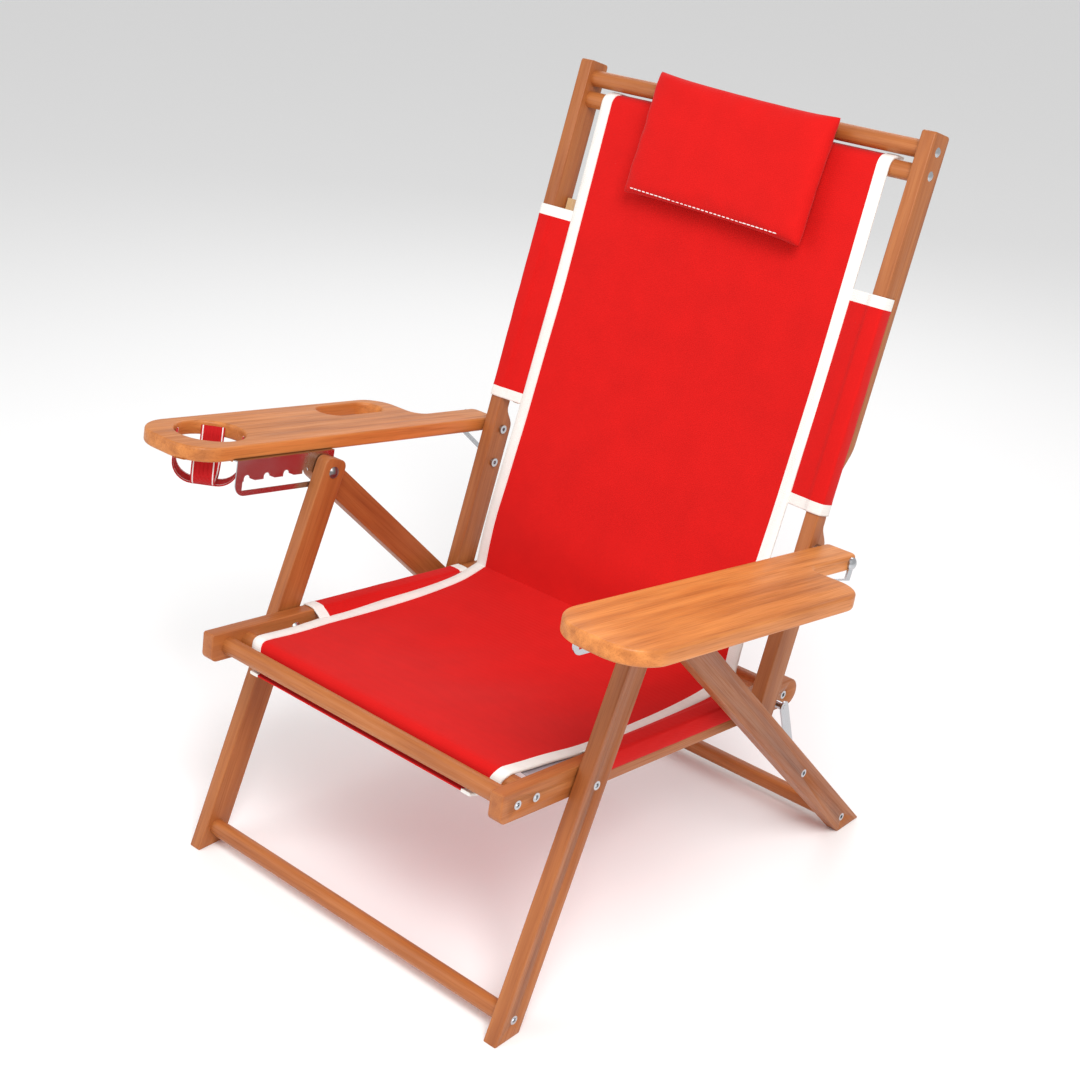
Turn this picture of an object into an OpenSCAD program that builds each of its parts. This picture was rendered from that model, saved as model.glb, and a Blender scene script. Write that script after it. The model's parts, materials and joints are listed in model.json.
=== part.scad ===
// Folding beach chair: wooden frame, fabric sling, reclining back and two arms.
// X points to the sitter's left, Y to the back, Z up; the floor is at Z = 0.
// A point of the side view is written as [y, z].

/* [Boards] */
// Thickness of every board
board_t = 19; // [16:0.5:19]
// Width of the frame boards
board_w = 37; // [34:0.5:38]
// Diameter of the cross dowels
dowel_d = 22; // [16:0.5:24]

/* [Layers across the width] */
// Inner face of the seat rails, from the middle
rail_x = 235; // [215:1:235]
// Inner face of the uprights and the front legs
leg_x = 256; // [256:0.5:258]
// Inner face of the rear legs
rear_x = 277.5; // [277.5:0.5:280]
// Inner edge of the arms
arm_in = 281; // [281:0.5:284]
// Outer edge of the arms
arm_out = 410; // [400:1:430]

/* [Seat rail] */
// Front end of the rail
rail_front_y = -348; // [-360:1:-340]
// Rear end of the rail
rail_rear_y = 216.5; // [210:0.5:230]
// Height of the rail's centre line at its front end
rail_front_z = 300.6; // [295:0.1:305]
// Drop of the rail towards the back, in degrees
rail_slope = 6.32; // [5:0.01:8]

/* [Back] */
// Back pivot, front to back
back_pivot_y = 116.3; // [110:0.1:120]
// Back pivot, height
back_pivot_z = 249.2; // [245:0.1:255]
// Lean of the upright from the vertical, in degrees
back_lean = 17.98; // [14:0.01:20]
// Length of the upright from the pivot to its top
upright_len = 733.4; // [730:0.1:760]
// Distance from the pivot to the upper dowel
upper_dowel_s = 711.8; // [705:0.1:715]
// Distance from the pivot to the lower dowel
lower_dowel_s = 683.2; // [675:0.1:685]
// Depth of the scoop in the rear edge
scoop_depth = 16; // [0:0.5:16]

/* [Legs] */
// Middle of the front foot on the floor
front_foot_y = -339; // [-345:0.1:-330]
// Middle of the rear foot on the floor
rear_foot_y = 329; // [320:0.1:335]
// Top pivot of the legs, front to back
top_pivot_y = -131.5; // [-135:0.1:-128]
// Top pivot of the legs, height
top_pivot_z = 472; // [468:0.1:476]

/* [Arms] */
// Arm pivot on the upright, front to back
arm_pivot_y = 182.8; // [180:0.1:186]
// Arm pivot on the upright, height
arm_pivot_z = 455.5; // [452:0.1:458]
// Rise of the arm towards the front, in degrees
arm_slope = 8.82; // [7:0.01:10]
// Reach of the arm in front of its pivot
arm_reach = 524.5; // [515:0.5:535]
// Diameter of the cup hole in one arm
cup_d = 89; // [80:1:95]
// Width of the phone slot
phone_w = 45; // [35:1:46]
// Length of the phone slot
phone_len = 106; // [80:1:110]

/* [Rack under the arm] */
// Distance between two notches
notch_pitch = 32; // [28:0.5:32]
// Number of notches
notches = 5; // [3:1:5]
// Depth of the rack plate below the arm
rack_depth = 45; // [40:1:48]

/* [Fabric] */
// Width of the sling across the chair
sling_w = 450; // [400:5:455]
// Thickness of the sling
sling_t = 3; // [2:0.5:3.5]
// Thickness of the side wings
wing_t = 1.2; // [0.8:0.1:1.2]
// Width of the head pillow
pillow_w = 290; // [240:5:320]
// Height of the head pillow
pillow_h = 165; // [140:5:170]
// Thickness of the head pillow
pillow_t = 32; // [26:1:48]

/* [Hidden] */

// Left and right are as seen from the front of the chair
LEFT = -1;
RIGHT = 1;
half_w = board_w / 2;
dowel_r = dowel_d / 2;
fit = 0.1;
gap = 0.3;

// Angles of the boards in the side view, measured from the Y axis
upright_angle = 90 - back_lean;
rail_angle = -rail_slope;
seat_pivot = [-213.2, 285.7];
back_pivot = [back_pivot_y, back_pivot_z];
top_pivot = [top_pivot_y, top_pivot_z];
arm_pivot = [arm_pivot_y, arm_pivot_z];
front_leg_angle = atan2(top_pivot_z, top_pivot_y - front_foot_y);
rear_leg_angle = atan2(-top_pivot_z, rear_foot_y - top_pivot_y);

// Distances along the rail, from its front end
rail_start = [rail_front_y, rail_front_z];
rail_len = (rail_rear_y - rail_front_y) / cos(rail_slope);
front_dowel_s = 26.5;
sling_dowel_s = 57;
rear_dowel_s = 537.5;
back_pivot_s = 467.1;
link_pin_s = 506.6;

front_stretcher_at = [-329.2, 24];
rear_stretcher_at = [308, 21.6];
link_bolt_s = 463.3;
link_len = 110.7;
brace_len = 48.5;

bolt_r = 4;
screw_r = 3;
head_r = 5.5;
head_h = 4;
hex_d = 6;
hex_depth = 2.6;
leg_top = 18;
rack_t = 1.5;
link_t = 1.9;
pin_drop = 22.4;

// ---- Colours -----------------------------------------------------------
wood = [0.62, 0.32, 0.12];
dark_wood = [0.42, 0.20, 0.07];
raw_wood = [0.84, 0.72, 0.48];
red = [0.78, 0.09, 0.08];
steel = [0.75, 0.76, 0.78];

// ---- Points and outlines of the side view ---------------------------------
function step(p, angle, s) = [p[0] + s * cos(angle), p[1] + s * sin(angle)];
function arc(c, r, a0, a1, n) =
    [for (i = [0:n]) [c[0] + r * cos(a0 + (a1 - a0) * i / n), c[1] + r * sin(a0 + (a1 - a0) * i / n)]];
function rail_at(s) = step(rail_start, rail_angle, s);
function upright_at(s) = step(back_pivot, upright_angle, s);

// Board outline from u0 to u1 with corner radii at its low and high ends
module stave(u0, u1, w, r0, r1) {
    h = w / 2;
    polygon(concat(
        arc([u0 + r0, -h + r0], r0, 180, 270, 9),
        arc([u1 - r1, -h + r1], r1, 270, 360, 9),
        arc([u1 - r1, h - r1], r1, 0, 90, 9),
        arc([u0 + r0, h - r0], r0, 90, 180, 9)));
}

// Puts a side-view outline, drawn along a board, at p and extrudes it from x0
module plate(x0, t, p = [0, 0], angle = 0) {
    translate([x0, p[0], p[1]])
        rotate([90, 0, 90])
            rotate([0, 0, angle])
                linear_extrude(t) children();
}

// Cylinder along X at a point of the side view
module rod(p, r, x0, x1, fn = 48) {
    translate([x0, p[0], p[1]])
        rotate([0, 90, 0])
            cylinder(h = x1 - x0, r = r, $fn = fn);
}

module side(s) {
    mirror([s < 0 ? 1 : 0, 0, 0]) children();
}

module both_sides() {
    side(RIGHT) children();
    side(LEFT) children();
}

// Counterbored hole for a flush head whose face is at x_face
module flush_hole(p, x_face) {
    rod(p, screw_r, x_face - board_t - 1, x_face + 1);
    rod(p, head_r, x_face - head_h, x_face + 1);
}

// Socket head screw with its face at x_face and its tip at x_tip
module flush_screw(p, x_face, x_tip, r = screw_r) {
    difference() {
        union() {
            rod(p, r, x_tip, x_face - head_h + 0.01);
            rod(p, head_r, x_face - head_h, x_face);
        }
        rod(p, hex_d / 2, x_face - hex_depth, x_face + 1, fn = 6);
    }
}

// Low dome on an outer face, or on an inner face when turned round
module dome(p, x0, r, h, turn = 1) {
    ball_r = (r * r + h * h) / (2 * h);
    translate([x0, p[0], p[1]])
        rotate([0, 90 * turn, 0])
            rotate_extrude($fn = 48)
                polygon(concat([[0, 0]], [for (i = [0:6]) let (a = asin(r / ball_r) * (1 - i / 6))
                    [ball_r * sin(a), ball_r * cos(a) - ball_r + h]]));
}

module dowel(p, half_len) {
    rod(p, dowel_r, -half_len, half_len, fn = 64);
}

// ---- Seat -----------------------------------------------------------------
rail_wing_from = 181;
rail_wing_to = 436;
binding = 16;
seat_kerf_w = -3.6;
kerf = 2.2;

module seat_rail(s) {
    difference() {
        plate(rail_x, board_t, rail_start, rail_angle)
            polygon(concat(
                arc([10, -half_w + 10], 10, 180, 270, 9),
                arc([rail_len - half_w, 0], half_w, 270, 450, 24),
                [[2, half_w], [0, half_w - 2]]));
        for (d = [front_dowel_s, sling_dowel_s, rear_dowel_s])
            flush_hole(rail_at(d), rail_x + board_t);
        rod(seat_pivot, bolt_r + fit, rail_x - 1, rail_x + board_t + 1);
        rod(back_pivot, bolt_r + fit, rail_x - 1, rail_x + board_t + 1);
        rod(rail_at(link_pin_s), screw_r, rail_x - 1, rail_x + board_t + 1);
        plate(rail_x - 1, board_t + 2, rail_start, rail_angle)
            translate([rail_wing_from - binding - 2, seat_kerf_w - kerf / 2])
                square([rail_wing_to - rail_wing_from + 2 * binding + 4, kerf]);
    }
}

module seat_rail_left() color(wood) side(LEFT) seat_rail();
module seat_rail_right() color(wood) side(RIGHT) seat_rail();
module seat_front_dowel() color(dark_wood) tapped_dowel(rail_at(front_dowel_s), rail_x);
module seat_sling_dowel() color(dark_wood) tapped_dowel(rail_at(sling_dowel_s), rail_x);
module seat_rear_dowel() color(dark_wood) tapped_dowel(rail_at(rear_dowel_s), rail_x);

// Dowel between two boards, with a pilot hole in each end
screw_bite = 22;
module tapped_dowel(p, half_len) {
    difference() {
        dowel(p, half_len);
        both_sides() rod(p, screw_r, half_len - screw_bite - 1, half_len + 1);
    }
}

module seat_screws() {
    color(steel) both_sides()
        for (d = [front_dowel_s, sling_dowel_s, rear_dowel_s])
            flush_screw(rail_at(d), rail_x + board_t, rail_x - screw_bite);
}

// Spacer between the rail and the tie link, with the link's pin
module link_pins() {
    color(steel) both_sides() {
        p = rail_at(link_pin_s);
        rod(p, screw_r, rail_x, rear_x - fit);
        rod(p, screw_r + 2, rail_x + board_t, leg_x + board_t + 0.2);
    }
}

// Sling profile along a board: from 'near' to the dowel at d, over it and back down
module sling_profile(near, v_near, v_mid, d, tail) {
    wrap = dowel_r + gap;
    path = concat(
        [[near, v_near], [(near * 3 + d) / 4, v_mid], [(near + d) / 2, v_mid],
         [(near + 3 * d) / 4, v_mid + 3], [d - sign(d - near) * 12, wrap]],
        [for (i = [0:8]) let (a = 90 - i * 90 / 8)
            [d + sign(d - near) * wrap * cos(a), wrap * sin(a)]],
        [[d + sign(d - near) * wrap, -tail]]);
    outer = concat(
        [[near, v_near + sling_t], [(near * 3 + d) / 4, v_mid + sling_t],
         [(near + d) / 2, v_mid + sling_t], [(near + 3 * d) / 4, v_mid + 3 + sling_t],
         [d - sign(d - near) * 12, wrap + sling_t]],
        [for (i = [0:8]) let (a = 90 - i * 90 / 8)
            [d + sign(d - near) * (wrap + sling_t) * cos(a), (wrap + sling_t) * sin(a)]],
        [[d + sign(d - near) * (wrap + sling_t), -tail]]);
    polygon(concat(path, [for (i = [len(outer) - 1:-1:0]) outer[i]]));
}

module seat_sling() {
    color(red) plate(-sling_w / 2, sling_w, rail_start, rail_angle)
        sling_profile(back_pivot_s - 90, 0, -8, sling_dowel_s, 30);
}

// Strip of cloth over a board: web to the sling, over the edge, down the outer
// face, through the kerf and under the batten; [x, v] from the board's inner face
function wing_outline(web, kerf_v, tuck) =
    let (t = wing_t, e = half_w + gap, o = board_t + 0.1, k = wing_t / 2) [
    [-web, half_w - 13], [-web, half_w - 13 - t], [-3, e - 4], [0, e], [o, e],
    [o, kerf_v + k], [-0.1 - t, kerf_v + k], [-0.1 - t, kerf_v - tuck], [-0.1, kerf_v - tuck],
    [-0.1, kerf_v - k], [o + t, kerf_v - k], [o + t, e + t], [-1, e + t], [-5, e - 3]];

module wing(x_in, p, angle, from, to, web, kerf_v, tuck) {
    translate([x_in, p[0], p[1]])
        rotate([angle, 0, 0])
            translate([0, to, 0])
                rotate([90, 0, 0])
                    linear_extrude(to - from)
                        polygon(wing_outline(web, kerf_v, tuck));
}

module seat_wing(s) {
    color(red) side(s)
        wing(rail_x, rail_start, rail_angle, rail_wing_from - binding, rail_wing_to + binding,
            9, seat_kerf_w, 3);
}

module seat_wing_left() seat_wing(LEFT);
module seat_wing_right() seat_wing(RIGHT);

batten_t = 10;
batten_w = 14;

module seat_batten(s) {
    color(dark_wood) side(s)
        plate(rail_x - batten_t, batten_t - wing_t - 0.2, rail_start, rail_angle)
            translate([rail_wing_from - binding - 10, seat_kerf_w - 3 - batten_w / 2])
                square([rail_wing_to - rail_wing_from + 2 * binding + 20, batten_w / 2]);
}

module seat_batten_left() seat_batten(LEFT);
module seat_batten_right() seat_batten(RIGHT);

// ---- Back -----------------------------------------------------------------
washer_r = 8;
washer_t = 1.4;

module back_pivot_bolts() {
    color(steel) both_sides() {
        rod(back_pivot, bolt_r, rail_x - 1, leg_x + board_t - 1);
        rod(back_pivot, washer_r, rail_x + board_t + gap, rail_x + board_t + gap + washer_t);
        dome(back_pivot, rail_x - fit, washer_r - 1, 4, -1);
    }
}

scoop_from = 222;
scoop_to = 352;
scoop_ramp_low = 26;
scoop_ramp_high = 46;
back_wing_from = 275;
back_wing_to = 519;
back_binding = 14;
back_kerf_v = -2.6;
brace_bolt = step(arm_pivot, upright_angle, -brace_len);

// Depth of the scoop at s: a quick shoulder at its low end and a longer one above
function ease(t) = let (u = min(max(t, 0), 1)) u * u * (3 - 2 * u);
function scoop(s) = scoop_depth * ease((s - scoop_from) / scoop_ramp_low)
    * ease((scoop_to - s) / scoop_ramp_high);

module back_upright() {
    top_r = 4;
    difference() {
        plate(leg_x, board_t, back_pivot, upright_angle)
            polygon(concat(
                arc([0, 0], half_w, 90, 270, 24),
                [for (i = [0:26]) let (s = scoop_from + (scoop_to - scoop_from) * i / 26)
                    [s, -half_w + scoop(s)]],
                arc([upright_len - top_r, -half_w + top_r], top_r, 270, 360, 5),
                arc([upright_len - top_r, half_w - top_r], top_r, 0, 90, 5)));
        rod(back_pivot, bolt_r + fit, leg_x - 1, leg_x + board_t + 1);
        rod(arm_pivot, screw_r + fit, leg_x - 1, leg_x + board_t + 1);
        rod(brace_bolt, screw_r, leg_x - 1, leg_x + board_t + 1);
        for (d = [upper_dowel_s, lower_dowel_s])
            rod(upright_at(d), screw_r, leg_x - 1, leg_x + board_t + 1);
        plate(leg_x - 1, board_t + 2, back_pivot, upright_angle)
            translate([back_wing_from - back_binding - 2, back_kerf_v - kerf / 2])
                square([back_wing_to - back_wing_from + 2 * back_binding + 4, kerf]);
    }
}

module back_upright_left() color(wood) side(LEFT) back_upright();
module back_upright_right() color(wood) side(RIGHT) back_upright();
module back_top_dowel() color(wood) tapped_dowel(upright_at(upper_dowel_s), leg_x);
module back_sling_dowel() color(wood) tapped_dowel(upright_at(lower_dowel_s), leg_x);

module back_screws() {
    color(steel) both_sides()
        for (d = [upper_dowel_s, lower_dowel_s]) {
            rod(upright_at(d), screw_r, leg_x - screw_bite, leg_x + board_t);
            dome(upright_at(d), leg_x + board_t, 6, 2.4);
        }
}

module back_sling() {
    color(red) plate(-sling_w / 2, sling_w, back_pivot, upright_angle)
        sling_profile(100, 0, 0, lower_dowel_s, 24);
}

module back_wing(s) {
    color(red) side(s)
        wing(leg_x, back_pivot, upright_angle, back_wing_from - back_binding,
            back_wing_to + back_binding, 30, back_kerf_v, 3);
}

module back_wing_left() back_wing(LEFT);
module back_wing_right() back_wing(RIGHT);

module back_batten(s, top) {
    bottom = back_wing_from - back_binding - 4;
    side(s)
        plate(leg_x - batten_t, batten_t - wing_t - 0.2, back_pivot, upright_angle)
            translate([bottom, back_kerf_v - 4 - batten_w + 2])
                square([top - bottom, batten_w - 2]);
}

module back_batten_left() color(raw_wood) back_batten(LEFT, 549);
module back_batten_right() color(wood) back_batten(RIGHT, 565);

// Soft pillow in front of the top of the back, a little off the middle
pillow_x = 9;

module head_pillow() {
    corner = 18;
    edge = 8;
    v_mid = 15 + pillow_t / 2;
    color(red)
        translate([pillow_x, back_pivot_y, back_pivot_z])
            rotate([upright_angle, 0, 0])
                translate([0, 650, v_mid])
                    hull() {
                        for (x = [-1, 1], y = [-1, 1])
                            translate([x * (pillow_w / 2 - edge), y * (pillow_h / 2 - edge), 0])
                                sphere(r = edge, $fn = 14);
                        for (x = [-1, 1], y = [-1, 1])
                            translate([x * (pillow_w / 2 - 3 * corner), y * (pillow_h / 2 - 2 * corner), 0])
                                cylinder(h = pillow_t, r = corner, center = true, $fn = 24);
                    }
}

// ---- Brace from the arm bolt back to the upright -----------------------------
brace_t = 2.5;
brace_w = 10;
neck_out = 326;
eye_x = neck_out + fit;

module arm_brace(s) {
    foot_x = leg_x + board_t;
    color(steel) side(s) difference() {
        union() {
            translate([0, arm_pivot_y, arm_pivot_z])
                rotate([upright_angle - 90, 0, 0])
                    translate([0, brace_w / 2, 0])
                        rotate([90, 0, 0])
                            linear_extrude(brace_w)
                                polygon([
                                    [eye_x + brace_t, 0], [eye_x + brace_t, -21],
                                    [foot_x + brace_t, -40], [foot_x + brace_t, -brace_len],
                                    [foot_x, -brace_len], [foot_x, -38.4], [eye_x, -19.4],
                                    [eye_x, 0]]);
            rod(arm_pivot, 8, eye_x, eye_x + brace_t);
            rod(brace_bolt, 7, foot_x, foot_x + brace_t);
        }
        rod(arm_pivot, screw_r + fit, eye_x - 1, eye_x + brace_t + 1);
        rod(brace_bolt, screw_r, foot_x - 1, foot_x + brace_t + 1);
    }
}

module arm_brace_left() arm_brace(LEFT);
module arm_brace_right() arm_brace(RIGHT);

module brace_bolts() {
    color(steel) both_sides() {
        rod(brace_bolt, screw_r, leg_x - 0.5, leg_x + board_t + brace_t);
        socket_head(brace_bolt, leg_x);
    }
}

// Socket head standing on an inner face
module socket_head(p, x_face) {
    difference() {
        rod(p, 6, x_face - 4, x_face);
        rod(p, hex_d / 2, x_face - 5, x_face - 4 + hex_depth, fn = 6);
    }
}

module arm_bolt(s) {
    arm_gap = arm_in - leg_x - board_t;
    color(steel) side(s) {
        socket_head(arm_pivot, leg_x - fit);
        rod(arm_pivot, screw_r, leg_x - 0.5, eye_x + brace_t + 1);
        rod(arm_pivot, 8, leg_x + board_t + fit, leg_x + board_t + arm_gap - fit);
        dome(arm_pivot, eye_x + brace_t + fit, 8, 4);
    }
}

module arm_bolt_left() arm_bolt(LEFT);
module arm_bolt_right() arm_bolt(RIGHT);

// ---- Legs -------------------------------------------------------------------
module above_floor() {
    intersection() {
        children();
        translate([-500, -600, 0]) cube([1000, 1200, 1200]);
    }
}

module front_leg(s) {
    leg_len = norm(top_pivot - [front_foot_y, 0]);
    color(wood) side(s) difference() {
        above_floor()
            plate(leg_x, board_t, [front_foot_y, 0], front_leg_angle)
                stave(-40, leg_len + leg_top, board_w, 1, 10);
        flush_hole(front_stretcher_at, leg_x + board_t);
        rod(seat_pivot, head_r, leg_x + board_t - head_h, leg_x + board_t + 1);
        rod(seat_pivot, bolt_r, leg_x - 1, leg_x + board_t + 1);
        rod(top_pivot, bolt_r, leg_x - 1, leg_x + board_t + 1);
    }
}

module front_leg_left() front_leg(LEFT);
module front_leg_right() front_leg(RIGHT);
module front_stretcher() color(wood) tapped_dowel(front_stretcher_at, leg_x);

module front_screws() {
    color(steel) both_sides()
        flush_screw(front_stretcher_at, leg_x + board_t, leg_x - screw_bite);
}

module seat_pivot_bolts() {
    color(steel) both_sides() {
        flush_screw(seat_pivot, leg_x + board_t, rail_x - 1, bolt_r);
        rod(seat_pivot, washer_r, rail_x + board_t + gap, rail_x + board_t + gap + washer_t);
        dome(seat_pivot, rail_x - fit, washer_r - 1, 4, -1);
    }
}

// The pin ends before the rack plate; its other half is on the rear leg
module top_pivot_bolts() {
    color(steel) both_sides() {
        rod(top_pivot, bolt_r, leg_x, leg_x + board_t + 0.4);
        dome(top_pivot, leg_x, washer_r, 4, -1);
    }
}

module rear_leg(s) {
    leg_len = norm(top_pivot - [rear_foot_y, 0]);
    link_bolt = step(top_pivot, rear_leg_angle, link_bolt_s);
    color(wood) side(s) difference() {
        above_floor()
            plate(rear_x, board_t, top_pivot, rear_leg_angle)
                stave(-half_w, leg_len + 40, board_w, half_w, 1);
        flush_hole(rear_stretcher_at, rear_x + board_t);
        flush_hole(link_bolt, rear_x + board_t);
        rod(top_pivot, bolt_r, rear_x - 1, rear_x + board_t + 1);
    }
}

module rear_leg_left() rear_leg(LEFT);
module rear_leg_right() rear_leg(RIGHT);
module rear_stretcher() color(wood) tapped_dowel(rear_stretcher_at, rear_x);

module rear_screws() {
    color(steel) both_sides()
        flush_screw(rear_stretcher_at, rear_x + board_t, rear_x - screw_bite);
}

module top_pivot_nuts() {
    color(steel) both_sides() {
        rod(top_pivot, bolt_r, rear_x - 0.4, rear_x + board_t);
        dome(top_pivot, rear_x + board_t, washer_r, 3.5);
    }
}

module link_bolts() {
    link_bolt = step(top_pivot, rear_leg_angle, link_bolt_s);
    color(steel) both_sides()
        flush_screw(link_bolt, rear_x + board_t, rear_x);
}

// Flat link between the rail and the rear leg
module tie_link(s) {
    p = rail_at(link_pin_s);
    link_bolt = step(top_pivot, rear_leg_angle, link_bolt_s);
    link_angle = atan2(link_bolt[1] - p[1], link_bolt[0] - p[0]);
    link_w = 16;
    color(steel) side(s) difference() {
        plate(rear_x - 2.2, link_t, p, link_angle)
            stave(-link_w / 2, link_len + link_w / 2, link_w, link_w / 2, link_w / 2);
        rod(p, screw_r + fit, rear_x - 4, rear_x);
        rod(link_bolt, screw_r + fit, rear_x - 4, rear_x);
    }
}

module tie_link_left() tie_link(LEFT);
module tie_link_right() tie_link(RIGHT);

// ---- Arms -------------------------------------------------------------------
// Drawn flat around the arm pivot: x across, y to the back, z up from mid-board
half_t = board_t / 2;
neck_tail = 14.4;
shoulder_y = -100;
tip_r = 50;
heel_r = 20;
neck_r = 9;
cup_at = [347, -446.6];
phone_at = [375.5, -183];
rack_from = -458.2;
rack_to = -298.3;
last_notch = -313.1;
flange_w = 26;

module in_arm_frame() {
    translate([0, arm_pivot_y, arm_pivot_z])
        rotate([-arm_slope, 0, 0]) children();
}

module arm_outline() {
    tip = -arm_reach;
    polygon(concat(
        arc([arm_in + 6, neck_tail - 6], 6, 180, 90, 5),
        arc([neck_out - neck_r, neck_tail - neck_r], neck_r, 90, 0, 7),
        arc([neck_out + heel_r, shoulder_y + heel_r], heel_r, 180, 270, 9),
        [[arm_out - 52, shoulder_y]],
        arc([arm_out - 38, shoulder_y - 38], 38, 90, 0, 12),
        arc([arm_out - tip_r, tip + tip_r], tip_r, 0, -90, 14),
        arc([arm_in + tip_r, tip + tip_r], tip_r, 270, 180, 14)));
}

module arm_board(s, cut_holes) {
    color(wood) side(s) in_arm_frame() difference() {
        translate([0, 0, -half_t]) linear_extrude(board_t) arm_outline();
        translate([arm_in - 5, 0, 0]) rotate([0, 90, 0]) cylinder(h = 60, r = screw_r + fit, $fn = 48);
        translate([arm_in - 5, rack_from - 1, -half_t - 1])
            cube([flange_w + rack_x - arm_in + 6, rack_to - rack_from + 2, 1 + rack_t]);
        for (y = rack_screws_y)
            translate([rack_x + flange_w * 0.62, y, -half_t]) cylinder(h = 13, r = 2, $fn = 32);
        if (cut_holes) {
            translate([cup_at[0], cup_at[1], -20]) cylinder(h = 40, r = cup_d / 2, $fn = 96);
            for (y = [-1, 1])
                translate([phone_at[0], phone_at[1] + y * (phone_len - phone_w) / 2, -20])
                    cylinder(h = 40, r = phone_w / 2, $fn = 64);
            translate([phone_at[0] - phone_w / 2, phone_at[1] - (phone_len - phone_w) / 2, -20])
                cube([phone_w, phone_len - phone_w, 40]);
        }
    }
}

module arm_left_board() arm_board(LEFT, true);
module arm_right_board() arm_board(RIGHT, false);

rack_x = leg_x + board_t + 0.5;
rack_screws_y = [rack_from + 16, (rack_from + rack_to) / 2, rack_to - 16];

// Steel angle with a toothed slot; [y, z] in the arm's frame, mirrored upright
module rack(s) {
    notch_r = 4.5;
    tooth_z = -half_t - 26;
    low_z = -half_t - 38;
    notch_z = -half_t - pin_drop;
    color(steel) side(s) in_arm_frame() {
        difference() {
            plate(rack_x, rack_t)
                polygon(concat(
                    arc([rack_from + 16, -half_t - rack_depth + 16], 16, 180, 270, 9),
                    arc([rack_to - 8, -half_t - rack_depth + 8], 8, 270, 360, 7),
                    [[rack_to, -half_t + rack_t], [rack_from, -half_t + rack_t]]));
            plate(rack_x - 1, rack_t + 2)
                translate([rack_from + 11, low_z])
                    square([rack_to - rack_from - 19, tooth_z - low_z]);
            for (i = [0:notches - 1]) {
                y = last_notch - i * notch_pitch;
                rod([y, notch_z], notch_r, rack_x - 1, rack_x + rack_t + 1);
                plate(rack_x - 1, rack_t + 2)
                    polygon([[y - notch_r, notch_z], [y + notch_r, notch_z],
                        [y + notch_r + (i == 0 ? 0 : 9), tooth_z], [y + notch_r, tooth_z - 1],
                        [y - notch_r, tooth_z - 1]]);
            }
        }
        difference() {
            translate([rack_x, rack_from, -half_t])
                cube([flange_w, rack_to - rack_from, rack_t]);
            for (y = rack_screws_y)
                translate([rack_x + flange_w * 0.62, y, -half_t - 1])
                    cylinder(h = 4, r = 2.6, $fn = 32);
        }
    }
}

module rack_left() rack(LEFT);
module rack_right() rack(RIGHT);

module rack_screws(s) {
    color(steel) side(s) in_arm_frame()
        for (y = rack_screws_y)
            translate([rack_x + flange_w * 0.62, y, -half_t]) {
                cylinder(h = 12, r = 2, $fn = 32);
                cylinder(h = rack_t, r = 2.6, $fn = 32);
            }
}

module rack_screws_left() rack_screws(LEFT);
module rack_screws_right() rack_screws(RIGHT);

// Webbing cradle under the cup hole: two straps that cross at 45 degrees to the arm.
// Each [a, z] outline drops from inside the hole's wall to a flat bottom
strap_w = 30;
cradle_a = sqrt(pow(cup_d / 2 - gap, 2) - pow(strap_w / 2, 2));
cradle_flat = 16;
cradle_t = 1.4;

module cradle_outline(drop) {
    low = -half_t - drop;
    polygon([[-cradle_a, 4], [-cradle_a, -half_t], [-cradle_flat, low], [cradle_flat, low],
        [cradle_a, -half_t], [cradle_a, 4], [cradle_a - cradle_t, 4],
        [cradle_a - cradle_t, -half_t + 1], [cradle_flat - 1, low + cradle_t],
        [1 - cradle_flat, low + cradle_t], [cradle_t - cradle_a, -half_t + 1],
        [cradle_t - cradle_a, 4]]);
}

module cup_strap(turn, drop) {
    color(red) side(LEFT) in_arm_frame()
        translate([cup_at[0], cup_at[1], 0])
            rotate([0, 0, turn])
                translate([-strap_w / 2, 0, 0])
                    rotate([90, 0, 90])
                        linear_extrude(strap_w) cradle_outline(drop);
}

module cup_strap_long() {
    cup_strap(45, 48);
}

module cup_strap_cross() {
    cup_strap(-45, 46);
}

seat_rail_left();
seat_rail_right();
seat_front_dowel();
seat_sling_dowel();
seat_rear_dowel();
seat_screws();
link_pins();
seat_sling();
seat_wing_left();
seat_wing_right();
seat_batten_left();
seat_batten_right();
back_pivot_bolts();
back_upright_left();
back_upright_right();
back_top_dowel();
back_sling_dowel();
back_screws();
back_sling();
back_wing_left();
back_wing_right();
back_batten_left();
back_batten_right();
head_pillow();
arm_brace_left();
arm_brace_right();
brace_bolts();
front_leg_left();
front_leg_right();
front_stretcher();
front_screws();
seat_pivot_bolts();
top_pivot_bolts();
rear_leg_left();
rear_leg_right();
rear_stretcher();
rear_screws();
top_pivot_nuts();
link_bolts();
tie_link_left();
tie_link_right();
arm_bolt_left();
arm_bolt_right();
arm_left_board();
arm_right_board();
rack_left();
rack_right();
rack_screws_left();
rack_screws_right();
cup_strap_long();
cup_strap_cross();
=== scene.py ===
"""Folding beach chair: cloth, webbing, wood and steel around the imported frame."""
import json
import math

import bmesh
import bpy
import numpy as np
from mathutils import Matrix, Vector
from mathutils.bvhtree import BVHTree

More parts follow.
